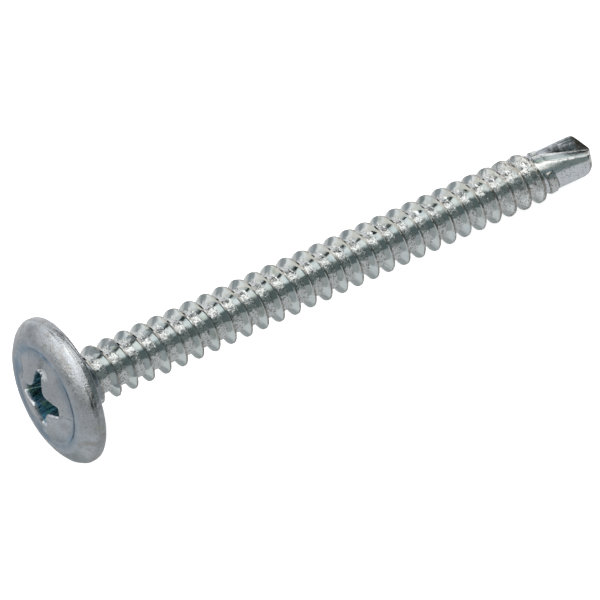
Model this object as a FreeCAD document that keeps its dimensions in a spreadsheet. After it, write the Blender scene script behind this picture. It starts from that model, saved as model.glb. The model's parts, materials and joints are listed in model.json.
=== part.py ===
import FreeCAD, Part
import math
import os
import Sketcher

# Wafer head self-drilling screw, 4.2 mm thread, number 2 cross recess.
# The body frame has its +Z along the axis to the drill point and z = 0 on the bearing face,
# so the head is below zero. The placement lays the screw down as it rests on a flat floor:
# on the rim of its head and on the last full crest of its thread.

NODE = "wafer_head_screw"

SIZES = [
    ("screw_length", "47.2", "bearing face to the end of the point"),
    ("head_diameter", "11.0", "across the flange"),
    ("rim_height", "0.8", "bearing face to the corner where the flange starts to slope"),
    ("rim_under_bevel", "0.18", "bevel on the lower edge of the rim"),
    ("rim_top_bevel", "0.26", "bevel on the upper edge of the rim"),
    ("ring_land", "0.7", "crease to the crown of the outer ring"),
    ("ring_height", "1.58", "bearing face to the crown of the outer ring"),
    ("ring_bevel", "0.3", "bevel on the crown of the outer ring"),
    ("crease_diameter", "7.16", "of the crease between the ring and the dome"),
    ("crease_width", "0.14", "across the crease"),
    ("crease_depth", "0.1", "below the foot of the dome"),
    ("dome_foot", "1.55", "bearing face to the foot of the dome"),
    ("dome_rise", "0.79", "foot to top of the dome"),
    ("neck_diameter", "3.5", "plain neck under the head"),
    ("neck_length", "0.8", "of the plain neck"),
    ("neck_taper", "0.5", "length of the cone from the neck to the thread root"),
    ("neck_bevel", "0.4", "bevel between the neck and the bearing face, out past the crests"),
    ("core_diameter", "2.95", "thread root"),
    ("thread_diameter", "4.17", "over the crests"),
    ("thread_pitch", "1.41", "crest to crest"),
    ("flank_angle", "30", "of each flank from the plane across the axis"),
    ("root_bite", "0.12", "how far the ridge reaches into the core"),
    ("thread_start", "0.93", "bearing face to the first crest"),
    ("drill_length", "5.35", "end of the thread to the end of the point"),
    ("fade_clear", "0.03", "kept between the fade and the land"),
    ("fade_angle", "28", "of the fade from the axis"),
    ("drill_diameter", "3.3", "across the lands of the drill point"),
    ("drill_lead", "0.2", "the drill's land starts this far before the end of the thread"),
    ("drill_taper", "0.4", "length of the cone from the root to the land"),
    ("point_angle", "55", "of the point's cone from the axis"),
    ("point_flat", "0.5", "across the blunt end"),
    ("shoulder_bevel", "0.15", "depth of the bevel between land and cone"),
    ("shoulder_length", "0.4", "length of that bevel"),
    ("flute_length", "4.9", "end of the point to the start of the flutes"),
    ("flute_overrun", "0.3", "of the flutes past the end"),
    ("flute_phase", "217.7", "turn of the flutes about the axis"),
    ("flute_start_depth", "1.12", "floor line from the axis at the start, along the phase"),
    ("flute_start_side", "-1.28", "the same, across the phase"),
    ("flute_end_depth", "0.2", "floor line from the axis at the end, along the phase"),
    ("flute_end_side", "-0.01", "the same, across the phase"),
    ("heel_start_angle", "50", "of the flute's heel wall at the start"),
    ("heel_end_angle", "25", "of the heel wall at the end"),
    ("lip_start_angle", "122", "of the flute's lip wall at the start"),
    ("lip_end_angle", "88", "of the lip wall at the end"),
    ("flute_reach", "3.2", "length of each wall in the section, well past the land"),
    ("recess_diameter", "4.6", "across the wings of the cross recess"),
    ("recess_floor_diameter", "2.29", "across the wings at their foot"),
    ("wing_width", "0.78", "at the tip of a wing"),
    ("wing_foot_width", "0.56", "at the tip of a wing at its foot"),
    ("recess_corner", "1.05", "axis to the inner corner between two wings"),
    ("recess_foot_corner", "0.78", "the same at the foot"),
    ("wing_slope", "26.5", "of the wing's end from the axis"),
    ("recess_floor_angle", "70", "of the floor's cone from the axis"),
    ("recess_phase", "76.1", "turn of the wings about the axis"),
    ("recess_clear", "0.3", "height of the cut above the dome"),
]

DERIVED = [
    ("ring_diameter", "=crease_diameter + crease_width + 2 * ring_land", "across the ring's crown"),
    ("crown_height", "=dome_foot + dome_rise", "bearing face to the top of the dome"),
    ("dome_radius", "=((crease_diameter - crease_width)^2 / 4 + dome_rise^2) / (2 * dome_rise)",
     "of the dome's sphere"),
    ("ridge_depth", "=(thread_diameter - core_diameter) / 2 + root_bite", "height of the ridge profile"),
    ("ridge_base", "=2 * ridge_depth * tan(flank_angle * 1 deg)", "width of that profile"),
    ("thread_height", "=screw_length - drill_length - thread_start", "first to last crest"),
    ("land_start", "=screw_length - drill_length - drill_lead", "start of the drill's land"),
    ("cone_base", "=drill_diameter / 2 - shoulder_bevel", "radius where the point's cone starts"),
    ("cone_length", "=(cone_base - point_flat / 2) / tan(point_angle * 1 deg)", "of the point's cone"),
    ("mouth_height", "=crown_height - dome_radius + sqrt(dome_radius^2 - recess_diameter^2 / 4)",
     "bearing face to the dome at the tips of the wings"),
    ("wing_top", "=crown_height + recess_clear", "start of the cut above the dome"),
    ("wing_rise", "=wing_top - mouth_height", "from the wing's mouth to the start of the cut"),
    ("wing_depth", "=(recess_diameter - recess_floor_diameter) / 2 / tan(wing_slope * 1 deg)",
     "mouth to foot of the wings"),
    ("wing_foot", "=wing_depth - mouth_height", "foot of the wings past the bearing face"),
    ("flare", "=wing_rise / wing_depth", "how far the cut's start extends the wings"),
    ("top_reach", "=recess_diameter / 2 + flare * (recess_diameter - recess_floor_diameter) / 2",
     "axis to the wing's end at the start of the cut"),
    ("top_width", "=wing_width + flare * (wing_width - wing_foot_width)", "wing's width there"),
    ("top_corner", "=recess_corner + flare * (recess_corner - recess_foot_corner)", "inner corner there"),
    ("floor_radius", "=recess_foot_corner * 0.98", "of the floor's cone"),
    ("floor_overlap", "=recess_clear", "height of the floor's cut above the foot of the wings"),
    ("fade_foot", "=drill_diameter / 2 + fade_clear", "radius where the fade ends"),
    ("fade_top", "=thread_diameter / 2 + fade_clear", "radius where the fade's cut starts"),
    ("fade_end", "=screw_length - drill_length + ridge_base / 2",
     "where the last of the ridge is cut to the land"),
    ("fade_start", "=fade_end - (fade_top - fade_foot) / tan(fade_angle * 1 deg)", "last full crest"),
    ("rest_tilt", "=atan((head_diameter - thread_diameter) / 2 / (fade_start + rim_under_bevel))",
     "lean of the axis as the screw lies"),
]


def sizes_sheet(doc):
    """The sheet of driving sizes, one alias a row, with the sizes that follow from them below."""
    sheet = doc.addObject("Spreadsheet::Sheet", "Sizes")
    for row, (alias, value, meaning) in enumerate(SIZES + DERIVED, start=1):
        sheet.set(f"A{row}", alias)
        sheet.set(f"B{row}", value)
        sheet.set(f"C{row}", meaning)
        sheet.setAlias(f"B{row}", alias)
    doc.recompute()
    return sheet


def sketch_on(body, name, role):
    """A sketch of the body on one of its own origin planes."""
    sketch = body.newObject("Sketcher::SketchObject", name)
    plane = [item for item in body.Origin.OriginFeatures if item.Role == role][0]
    sketch.AttachmentSupport = [(plane, "")]
    sketch.MapMode = "FlatFace"
    return sketch


def value_of(owner, expression):
    value = owner.evalExpression(expression)
    return float(getattr(value, "Value", value))


def outline(sketch, corners, domed=False):
    """Straight lines round the corners, each corner tied to the sheet.

    A corner is a pair of expressions, across and up. None puts it on the axis that it leaves out.
    A domed outline starts with an arc instead, centred on the upright axis.
    """
    count = len(corners)
    places = []
    for across, up in corners:
        x = value_of(sketch, across) if across else 0.0
        y = value_of(sketch, up) if up else 0.0
        places.append(FreeCAD.Vector(x, y, 0))
    for index in range(count):
        start, end = places[index], places[(index + 1) % count]
        if domed and index == 0:
            sketch.addGeometry(dome_arc(start, end), False)
        else:
            sketch.addGeometry(Part.LineSegment(start, end), False)
    for index in range(count):
        sketch.addConstraint(Sketcher.Constraint("Coincident", index, 2, (index + 1) % count, 1))
    for index, (across, up) in enumerate(corners):
        hold(sketch, index, across, up, places[index])
    if domed:
        sketch.addConstraint(Sketcher.Constraint("PointOnObject", 0, 3, -2))


def dome_arc(top, foot):
    """The arc from the dome's top, on the axis, to its foot, centred on the axis."""
    rise = foot.y - top.y
    radius = (foot.x ** 2 + rise ** 2) / (2 * rise)
    centre = FreeCAD.Vector(0, top.y + radius, 0)
    circle = Part.Circle(centre, FreeCAD.Vector(0, 0, 1), radius)
    return Part.ArcOfCircle(circle, -math.pi / 2, math.atan2(foot.y - centre.y, foot.x))


def hold(sketch, line, across, up, place):
    """Tie the start of a line to the sheet, or to the axis where an expression is None."""
    if across:
        number = sketch.addConstraint(Sketcher.Constraint("DistanceX", line, 1, place.x))
        sketch.setExpression(f"Constraints[{number}]", across)
    else:
        sketch.addConstraint(Sketcher.Constraint("PointOnObject", line, 1, -2))
    if up:
        number = sketch.addConstraint(Sketcher.Constraint("DistanceY", line, 1, place.y))
        sketch.setExpression(f"Constraints[{number}]", up)
    else:
        sketch.addConstraint(Sketcher.Constraint("PointOnObject", line, 1, -1))


def revolved(body, kind, name, sketch):
    feature = body.newObject(kind, name)
    feature.Profile = sketch
    feature.ReferenceAxis = (sketch, ["V_Axis"])
    feature.Angle = 360.0
    return feature


def edges_at(shape, radius, height):
    """Names of the round edges about the axis with this radius at this height."""
    names = []
    for index, edge in enumerate(shape.Edges, start=1):
        if edge.Degenerated or not isinstance(edge.Curve, Part.Circle):
            continue
        same_radius = abs(edge.Curve.Radius - radius) < 1e-4
        same_height = abs(edge.Curve.Center.z - height) < 1e-4
        if same_radius and same_height:
            names.append(f"Edge{index}")
    return names


def bevelled(body, name, base, radius, height, size):
    """A bevel on the edge of the given radius and height, its size bound to the sheet."""
    feature = body.newObject("PartDesign::Chamfer", name)
    feature.Base = (base, edges_at(base.Shape, radius, height))
    feature.setExpression("Size", size)
    return feature


def blank(body):
    """The turned form: head, neck, thread core, drill land and point, with its bevels."""
    sketch = sketch_on(body, "BlankSketch", "XZ_Plane")
    rim = "Sizes.head_diameter / 2"
    foot = "-Sizes.dome_foot"
    outline(sketch, [
        (None, "-Sizes.crown_height"),
        ("(Sizes.crease_diameter - Sizes.crease_width) / 2", foot),
        ("Sizes.crease_diameter / 2", "-Sizes.dome_foot + Sizes.crease_depth"),
        ("(Sizes.crease_diameter + Sizes.crease_width) / 2", foot),
        ("Sizes.ring_diameter / 2", "-Sizes.ring_height"),
        (rim, "-Sizes.rim_height"),
        (rim, None),
        ("Sizes.neck_diameter / 2", None),
        ("Sizes.neck_diameter / 2", "Sizes.neck_length"),
        ("Sizes.core_diameter / 2", "Sizes.neck_length + Sizes.neck_taper"),
        ("Sizes.core_diameter / 2", "Sizes.land_start - Sizes.drill_taper"),
        ("Sizes.drill_diameter / 2", "Sizes.land_start"),
        ("Sizes.drill_diameter / 2", "Sizes.screw_length - Sizes.cone_length - Sizes.shoulder_length"),
        ("Sizes.cone_base", "Sizes.screw_length - Sizes.cone_length"),
        ("Sizes.point_flat / 2", "Sizes.screw_length"),
        (None, "Sizes.screw_length"),
    ], domed=True)
    turned = revolved(body, "PartDesign::Revolution", "Blank", sketch)
    body.Document.recompute()
    rim_radius = value_of(turned, rim)
    rim_corner = value_of(turned, "-Sizes.rim_height")
    ring_radius = value_of(turned, "Sizes.ring_diameter / 2")
    ring_crown = value_of(turned, "-Sizes.ring_height")
    neck_radius = value_of(turned, "Sizes.neck_diameter / 2")
    bevels = [
        ("RimUnderBevel", rim_radius, 0.0, "Sizes.rim_under_bevel"),
        ("RimTopBevel", rim_radius, rim_corner, "Sizes.rim_top_bevel"),
        ("RingBevel", ring_radius, ring_crown, "Sizes.ring_bevel"),
        ("NeckBevel", neck_radius, 0.0, "Sizes.neck_bevel"),
    ]
    for name, radius, height, size in bevels:
        turned = bevelled(body, name, turned, radius, height, size)
        body.Document.recompute()
    return turned


def thread(body):
    """The right-hand ridge, one start, wound from under the head to the drill point."""
    sketch = sketch_on(body, "RidgeSketch", "XZ_Plane")
    inside = "Sizes.core_diameter / 2 - Sizes.root_bite"
    crest = "Sizes.thread_diameter / 2"
    outline(sketch, [
        (inside, "Sizes.thread_start - Sizes.ridge_base / 2"),
        (crest, "Sizes.thread_start"),
        (inside, "Sizes.thread_start + Sizes.ridge_base / 2"),
    ])
    ridge = body.newObject("PartDesign::AdditiveHelix", "Ridge")
    ridge.Profile = sketch
    ridge.ReferenceAxis = (sketch, ["V_Axis"])
    ridge.Mode = "pitch-height-angle"
    ridge.LeftHanded = False
    ridge.setExpression("Pitch", "Sizes.thread_pitch")
    ridge.setExpression("Height", "Sizes.thread_height")
    body.Document.recompute()
    return ridge


def thread_fade(body):
    """A cone turned off the last crests, which lets the ridge die out into the land."""
    sketch = sketch_on(body, "FadeSketch", "XZ_Plane")
    outline(sketch, [
        ("Sizes.fade_top", "Sizes.fade_start"),
        ("Sizes.fade_foot", "Sizes.fade_end"),
        ("Sizes.fade_top", "Sizes.fade_end"),
    ])
    groove = revolved(body, "PartDesign::Groove", "ThreadFade", sketch)
    body.Document.recompute()
    return groove


def turned_section(body, name, height, turn):
    """A sketch across the axis at a height, turned about the axis."""
    sketch = sketch_on(body, name, "XY_Plane")
    sketch.setExpression("AttachmentOffset.Base.z", height)
    sketch.setExpression("AttachmentOffset.Rotation.Angle", turn)
    return sketch


def tapered_cut(body, name, start, end):
    """A straight-sided cut between two sections."""
    cut = body.newObject("PartDesign::SubtractiveLoft", name)
    cut.Profile = start
    cut.Sections = [end]
    cut.Ruled = True
    body.Document.recompute()
    return cut


def flute_section(body, name, height, depth, side, heel, lip):
    """The flute's section at a height: two walls that meet on the floor line, open outwards."""
    sketch = turned_section(body, name, height, "Sizes.flute_phase")
    heel_across = f"{depth} + Sizes.flute_reach * cos({heel} * 1 deg)"
    heel_up = f"{side} + Sizes.flute_reach * sin({heel} * 1 deg)"
    lip_across = f"{depth} + Sizes.flute_reach * cos({lip} * 1 deg)"
    lip_up = f"{side} - Sizes.flute_reach * sin({lip} * 1 deg)"
    outline(sketch, [
        (depth, side),
        (heel_across, heel_up),
        (heel_across + " + Sizes.flute_reach", lip_up),
        (lip_across, lip_up),
    ])
    return sketch


def flutes(body):
    """Two flutes, pinched in opposite each other: shallow at the thread, deep at the end."""
    start = flute_section(
        body, "FluteStart", "Sizes.screw_length - Sizes.flute_length", "Sizes.flute_start_depth",
        "Sizes.flute_start_side", "Sizes.heel_start_angle", "Sizes.lip_start_angle")
    end = flute_section(
        body, "FluteEnd", "Sizes.screw_length + Sizes.flute_overrun", "Sizes.flute_end_depth",
        "Sizes.flute_end_side", "Sizes.heel_end_angle", "Sizes.lip_end_angle")
    cut = tapered_cut(body, "Flute", start, end)
    pair = body.newObject("PartDesign::PolarPattern", "FlutePair")
    pair.Originals = [cut]
    pair.Axis = (start, ["N_Axis"])
    pair.Angle = 360.0
    pair.Occurrences = 2
    body.Tip = pair
    body.Document.recompute()
    return pair


def cross_section(body, name, height, reach, width, corner):
    """The cross recess at a height: four wings, each with two tip corners and an inner corner."""
    sketch = turned_section(body, name, height, "Sizes.recess_phase")
    corners = []
    for along, across in ((1, 0), (0, 1), (-1, 0), (0, -1)):
        for side in (-1, 1):
            corners.append((
                f"{along} * {reach} - {across * side} * {width} / 2",
                f"{across} * {reach} + {along * side} * {width} / 2",
            ))
        corners.append((
            f"{along - across} * {corner} * sqrt(0.5)",
            f"{along + across} * {corner} * sqrt(0.5)",
        ))
    outline(sketch, corners)
    return sketch


def cross_recess(body):
    """Four tapered wings and the shallow cone of the floor between their feet."""
    top = cross_section(
        body, "WingTop", "-Sizes.wing_top", "Sizes.top_reach", "Sizes.top_width", "Sizes.top_corner")
    foot = cross_section(
        body, "WingFoot", "Sizes.wing_foot", "Sizes.recess_floor_diameter / 2",
        "Sizes.wing_foot_width", "Sizes.recess_foot_corner")
    tapered_cut(body, "Wings", top, foot)
    sketch = sketch_on(body, "FloorSketch", "XZ_Plane")
    outline(sketch, [
        (None, "Sizes.wing_foot - Sizes.floor_overlap"),
        ("Sizes.floor_radius", "Sizes.wing_foot - Sizes.floor_overlap"),
        ("Sizes.floor_radius", "Sizes.wing_foot"),
        (None, "Sizes.wing_foot + Sizes.floor_radius / tan(Sizes.recess_floor_angle * 1 deg)"),
    ])
    floor = revolved(body, "PartDesign::Groove", "RecessFloor", sketch)
    body.Document.recompute()
    return floor


def lay_down(body):
    """Turn the axis along X, point down by the lean, and set the lowest edge on the floor.

    The origin is under the middle of the box round the screw.
    """
    lean = value_of(body, "Sizes.rest_tilt")
    body.Placement = FreeCAD.Placement(
        FreeCAD.Vector(0, 0, 0), FreeCAD.Rotation(FreeCAD.Vector(0, 1, 0), 90 + lean))
    body.Document.recompute()
    box = body.Shape.optimalBoundingBox(False)
    body.Placement.Base = FreeCAD.Vector(
        -(box.XMin + box.XMax) / 2, -(box.YMin + box.YMax) / 2, -box.ZMin)
    body.Document.recompute()


def check(doc, body):
    for item in doc.Objects:
        if "Invalid" in item.State or "Error" in item.State:
            raise RuntimeError(f"{item.Name} did not build")
    shape = body.Shape
    if shape.isNull() or not shape.isValid() or len(shape.Solids) != 1:
        raise RuntimeError("the screw is not one valid solid")


def main():
    doc = FreeCAD.newDocument("WaferHeadScrew")
    sizes_sheet(doc)
    body = doc.addObject("PartDesign::Body", "Screw")
    body.Label = NODE
    doc.recompute()
    blank(body)
    flutes(body)
    cross_recess(body)
    thread(body)
    thread_fade(body)
    lay_down(body)
    check(doc, body)
    os.makedirs("parts", exist_ok=True)
    body.Shape.exportStep(f"parts/{NODE}.step")
    print("volume", round(body.Shape.Volume, 3), "box", body.Shape.BoundBox)
    print("placement", body.Placement)


main()
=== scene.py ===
import json
import math
from itertools import product
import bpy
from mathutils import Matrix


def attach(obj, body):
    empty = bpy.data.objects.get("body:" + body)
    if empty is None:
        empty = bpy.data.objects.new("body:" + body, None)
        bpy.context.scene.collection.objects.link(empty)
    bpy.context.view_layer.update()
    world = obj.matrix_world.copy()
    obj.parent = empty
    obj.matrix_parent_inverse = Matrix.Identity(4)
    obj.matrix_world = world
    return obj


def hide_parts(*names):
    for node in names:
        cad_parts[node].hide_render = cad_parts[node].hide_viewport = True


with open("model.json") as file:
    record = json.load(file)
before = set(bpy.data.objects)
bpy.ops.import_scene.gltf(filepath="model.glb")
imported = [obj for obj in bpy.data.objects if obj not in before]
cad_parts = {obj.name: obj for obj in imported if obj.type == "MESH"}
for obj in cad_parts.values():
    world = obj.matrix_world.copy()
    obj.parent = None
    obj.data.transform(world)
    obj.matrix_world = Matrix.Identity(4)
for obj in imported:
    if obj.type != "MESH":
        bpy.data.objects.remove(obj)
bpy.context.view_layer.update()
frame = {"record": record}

from types import SimpleNamespace

import bpy
import numpy as np
from mathutils import Matrix, Vector

bl_info = {
    "name": "Wafer head self-drilling screw",
    "version": (1, 0, 0),
    "blender": (4, 5, 0),
    "location": "View3D > Sidebar > Screw",
    "description": "Head, thread and drill point of a zinc plated self-drilling screw",
    "category": "Object",
}

# All shapes are worked out in millimetres in the screw's own frame, as it is drawn:
# +Z runs along the axis to the point and z = 0 is the bearing face, so the head is below zero.
# Turns are degrees about the axis from the side that faces the floor.
MM = 0.001
NODE = "wafer_head_screw"
BODY = "root"
# The turn that faces the camera.
FACING = 217.7


def screw_axes():
    """The middle of the bearing face, in metres, and the three directions of the screw's frame."""
    mount = next(m for m in frame["record"]["mounts"] if m["name"] == "bearing_face")
    along = np.array(mount["axis"], float)
    along /= np.linalg.norm(along)
    across = np.array([along[2], 0.0, -along[0]])
    return np.array(mount["pos_m"], float), across, np.cross(along, across), along


def polar(radius, turn, height):
    """Points from radius, turn in degrees and height, as one array with x, y and z last."""
    turn = np.radians(turn)
    radius, turn, height = np.broadcast_arrays(radius, turn, height)
    return np.stack([radius * np.cos(turn), radius * np.sin(turn), height], axis=-1)


def smoothstep(low, high, value):
    """Nought below low, one above high, and an even S between them."""
    share = np.clip((value - low) / (high - low), 0.0, 1.0)
    return share * share * (3.0 - 2.0 * share)


def bell(value, middle, width):
    """One in the middle, falling to a third at the width on either side."""
    return np.exp(-((value - middle) / width) ** 2)


def flowing(points, steps):
    """A Catmull-Rom curve through the points, with so many steps between each pair."""
    points = np.array(points, float)
    padded = np.vstack([2 * points[0] - points[1], points, 2 * points[-1] - points[-2]])
    share = np.linspace(0.0, 1.0, steps, endpoint=False)[:, None, None]
    a, b, c, d = padded[:-3], padded[1:-2], padded[2:-1], padded[3:]
    curve = 0.5 * (2 * b + (c - a) * share + (2 * a - 5 * b + 4 * c - d) * share ** 2
                   + (3 * b - a - 3 * c + d) * share ** 3)
    return np.vstack([curve.transpose(1, 0, 2).reshape(-1, points.shape[1]), points[-1]])


def bend(start, corner, end, steps):
    """Rows of a rounded edge: a quadratic arc from start to end, pulled towards the corner."""
    share = np.linspace(0.0, 1.0, steps)[:, None, None]
    return (1 - share) ** 2 * start + 2 * share * (1 - share) * corner + share ** 2 * end


def uneven(points, size, seed):
    """Smooth random values from -1 to 1 that change over about the size in millimetres.

    Random numbers on a cubic lattice, blended by smooth steps between the eight corners of a cell.
    """
    table = np.random.default_rng(seed).random((32, 32, 32))
    place = points / size
    whole = np.floor(place).astype(int)
    share = smoothstep(0.0, 1.0, place - whole)
    total = np.zeros(points.shape[:-1])
    for corner in product((0, 1), repeat=3):
        index = (whole + corner) % 32
        weight = np.prod(np.where(corner, share, 1 - share), axis=-1)
        total += weight * table[index[..., 0], index[..., 1], index[..., 2]]
    return 2 * total - 1


def raised(grid, amount):
    """The grid moved along its own outward normals, by an amount for each point."""
    ahead = np.gradient(grid, axis=0)
    beside = np.roll(grid, -1, axis=1) - np.roll(grid, 1, axis=1)
    normal = np.cross(beside, ahead)
    normal /= np.maximum(np.linalg.norm(normal, axis=-1, keepdims=True), 1e-9)
    return grid + amount[..., None] * normal


def ring_quads(rows, columns):
    """Corners of the quads of a grid that is closed round its columns."""
    index = np.arange(rows * columns).reshape(rows, columns)
    beside = np.roll(index, -1, axis=1)
    return np.stack([index[:-1], beside[:-1], beside[1:], index[1:]], axis=-1).reshape(-1, 4)


def make_piece(name, grid, material, crease_angle, attributes):
    """A closed mesh from a grid of points, rows along the piece and columns round it.

    The first and last rows are capped, edges sharper than the crease angle stay sharp, and
    each attribute is one value for each point of the grid.
    """
    rows, columns = grid.shape[:2]
    base, x_way, y_way, z_way = screw_axes()
    places = base + MM * (grid.reshape(-1, 3) @ np.stack([x_way, y_way, z_way]))
    quads = ring_quads(rows, columns)
    first = np.arange(columns)[::-1]
    last = np.arange(columns) + (rows - 1) * columns
    corners = np.concatenate([quads.ravel(), first, last])
    sizes = np.concatenate([np.full(len(quads), 4), [columns, columns]])
    mesh = bpy.data.meshes.new(name)
    mesh.vertices.add(len(places))
    mesh.vertices.foreach_set("co", places.ravel())
    mesh.loops.add(len(corners))
    mesh.loops.foreach_set("vertex_index", corners.astype(np.int32))
    mesh.polygons.add(len(sizes))
    mesh.polygons.foreach_set("loop_start", np.concatenate([[0], np.cumsum(sizes)[:-1]]).astype(np.int32))
    mesh.update(calc_edges=True)
    mesh.polygons.foreach_set("use_smooth", np.ones(len(sizes), bool))
    mesh.set_sharp_from_angle(angle=math.radians(crease_angle))
    for label, values in attributes.items():
        layer = mesh.attributes.new(label, "FLOAT", "POINT")
        layer.data.foreach_set("value", np.broadcast_to(values, (rows, columns)).ravel().astype(np.float32))
    if mesh.validate(verbose=False):
        raise RuntimeError(f"{name} has faces that don't hold")
    mesh.materials.append(material)
    piece = bpy.data.objects.new(name, mesh)
    bpy.context.scene.collection.objects.link(piece)
    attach(piece, BODY)
    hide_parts(NODE)
    return piece


def linear(hex_colour):
    """An sRGB hex colour as linear red, green, blue and one for alpha."""
    values = np.array([int(hex_colour[i:i + 2], 16) for i in (1, 3, 5)]) / 255.0
    values = np.where(values <= 0.04045, values / 12.92, ((values + 0.055) / 1.055) ** 2.4)
    return (*values.tolist(), 1.0)


def in_millimetres(group):
    """A group's values, with its lengths in millimetres and its angles in degrees."""
    values = {}
    for prop in group.bl_rna.properties:
        if prop.identifier not in {"rna_type", "name"}:
            value = getattr(group, prop.identifier)
            value = value / MM if prop.unit == "LENGTH" else value
            values[prop.identifier] = math.degrees(value) if prop.unit == "ROTATION" else value
    return SimpleNamespace(**values)


class HeadSizes(bpy.types.PropertyGroup):
    """Sizes of the wafer head and its recess"""
    flange: bpy.props.FloatProperty(
        name="Flange", description="Diameter of the flange", default=0.011, unit="LENGTH", precision=5)
    dome: bpy.props.FloatProperty(
        name="Dome", description="Diameter of the dome's foot", default=0.00716, unit="LENGTH", precision=5)
    dome_rise: bpy.props.FloatProperty(
        name="Dome rise", description="Height of the dome", default=0.00079, unit="LENGTH", precision=5)
    dome_foot: bpy.props.FloatProperty(
        name="Dome foot", description="Bearing face to the foot of the dome", default=0.00155, unit="LENGTH",
        precision=5)
    crease_depth: bpy.props.FloatProperty(
        name="Crease", description="Depth of the crease round the dome", default=0.00009, unit="LENGTH", precision=5)
    recess: bpy.props.FloatProperty(
        name="Recess", description="Across the wings of the cross recess", default=0.0046, unit="LENGTH", precision=5)
    recess_turn: bpy.props.FloatProperty(
        name="Recess turn", description="Turn of the wings about the axis", default=math.radians(76.1),
        subtype="ANGLE")
    recess_edge: bpy.props.FloatProperty(
        name="Recess edge", description="Width of the recess's worn edge", default=0.00026, unit="LENGTH",
        precision=5)
    neck: bpy.props.FloatProperty(
        name="Neck", description="Diameter of the plain neck", default=0.0035, unit="LENGTH", precision=5)
    wear: bpy.props.FloatProperty(
        name="Dents", description="Depth of the dents and wrinkles left by forging", default=0.000014, unit="LENGTH",
        precision=6)


class ThreadSizes(bpy.types.PropertyGroup):
    """Sizes of the thread and the depths of its wear"""
    crest: bpy.props.FloatProperty(
        name="Crest", description="Diameter over the crests", default=0.00417, unit="LENGTH", precision=5)
    root: bpy.props.FloatProperty(
        name="Root", description="Diameter of the thread's root", default=0.00295, unit="LENGTH", precision=5)
    pitch: bpy.props.FloatProperty(
        name="Pitch", description="Crest to crest", default=0.00141, unit="LENGTH", precision=5)
    start: bpy.props.FloatProperty(
        name="Start", description="Bearing face to the first crest", default=0.00093, unit="LENGTH", precision=5)
    crest_flat: bpy.props.FloatProperty(
        name="Crest flat", description="Width of the crest", default=0.00009, unit="LENGTH", precision=5)
    flank: bpy.props.FloatProperty(
        name="Flank", description="Lean of each flank", default=math.radians(30.0), subtype="ANGLE")
    fillet: bpy.props.FloatProperty(
        name="Fillet", description="How far the foot of a flank runs out into the root", default=0.00002,
        unit="LENGTH", precision=5)
    nick: bpy.props.FloatProperty(
        name="Nicks", description="Depth of the nicks along the crest", default=0.000035, unit="LENGTH", precision=6)
    crumple: bpy.props.FloatProperty(
        name="Crumple", description="Depth of the crumpled root", default=0.000032, unit="LENGTH", precision=6)


class DrillSizes(bpy.types.PropertyGroup):
    """Sizes of the drill point"""
    land: bpy.props.FloatProperty(
        name="Land", description="Diameter of the drill point", default=0.0033, unit="LENGTH", precision=5)
    length: bpy.props.FloatProperty(
        name="End", description="Bearing face to the end of the point", default=0.0472, unit="LENGTH", precision=5)
    cone: bpy.props.FloatProperty(
        name="Cone", description="Angle of the point's cone from the axis", default=math.radians(55.0),
        subtype="ANGLE")
    blunt: bpy.props.FloatProperty(
        name="Blunt end", description="Across the blunt end", default=0.0005, unit="LENGTH", precision=5)
    scratch: bpy.props.FloatProperty(
        name="Pinch lines", description="Depth of the lines along the lip wall", default=0.000014, unit="LENGTH",
        precision=6)


class PlatingLook(bpy.types.PropertyGroup):
    """Main colours of the plating, its tints, its dirt, and the colours that paint shade in the recess and beside the
    thread's remains
    """
    satin: bpy.props.FloatVectorProperty(
        name="Satin zinc", description="Plating on forged faces", size=4, subtype="COLOR", default=linear("#BBC1C8"))
    bright: bpy.props.FloatVectorProperty(
        name="Bright zinc", description="Plating on rolled faces", size=4, subtype="COLOR", default=linear("#DCE1E1"))
    foil: bpy.props.FloatVectorProperty(
        name="Crumpled zinc", description="Plating in the root", size=4, subtype="COLOR", default=linear("#DFE2E2"))
    blue: bpy.props.FloatVectorProperty(
        name="Blue tint", description="Blue of the passivate where it is thick", size=4, subtype="COLOR",
        default=linear("#8CA2B6"))
    green: bpy.props.FloatVectorProperty(
        name="Green tint", description="Green of the passivate on steep faces", size=4, subtype="COLOR",
        default=linear("#B0BCB0"))
    # Dark teal over the whole recess: partly the passivate's colour, partly painted shade of the deep recess.
    deep: bpy.props.FloatVectorProperty(
        name="Recess", description="Plating down in the recess", size=4, subtype="COLOR", default=linear("#6C9AA8"))
    soil: bpy.props.FloatVectorProperty(
        name="Soil", description="Handling dirt and rubbed steel on edges", size=4, subtype="COLOR",
        default=linear("#8A8178"))
    # Also the colour of the dark lines painted as shade beside the thread's remains.
    pits_and_shade: bpy.props.FloatVectorProperty(
        name="Pits", description="Dark specks in the plating", size=4, subtype="COLOR", default=linear("#3A3C3B"))


class StageLook(bpy.types.PropertyGroup):
    """The floor's colour and the lamp's power"""
    floor: bpy.props.FloatVectorProperty(
        name="Floor", description="Colour of the floor", size=4, subtype="COLOR", default=linear("#F4F5F5"))
    tent_light: bpy.props.FloatProperty(
        name="Tent light", description="Power of the light over the tent", default=0.3, unit="POWER")


def dome_height(radius, sizes):
    """Height of the dome's sphere above the bearing face: its top less the fall at the radius."""
    foot = sizes.dome / 2
    ball = (foot ** 2 + sizes.dome_rise ** 2) / (2 * sizes.dome_rise)
    return sizes.dome_foot + sizes.dome_rise - ball + np.sqrt(ball ** 2 - np.minimum(radius, foot) ** 2)


# Steps round a corner of the cross, along a wing's side and across its tip.
CORNER_STEPS = 11
WALL_STEPS = 14
TIP_STEPS = 6


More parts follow.
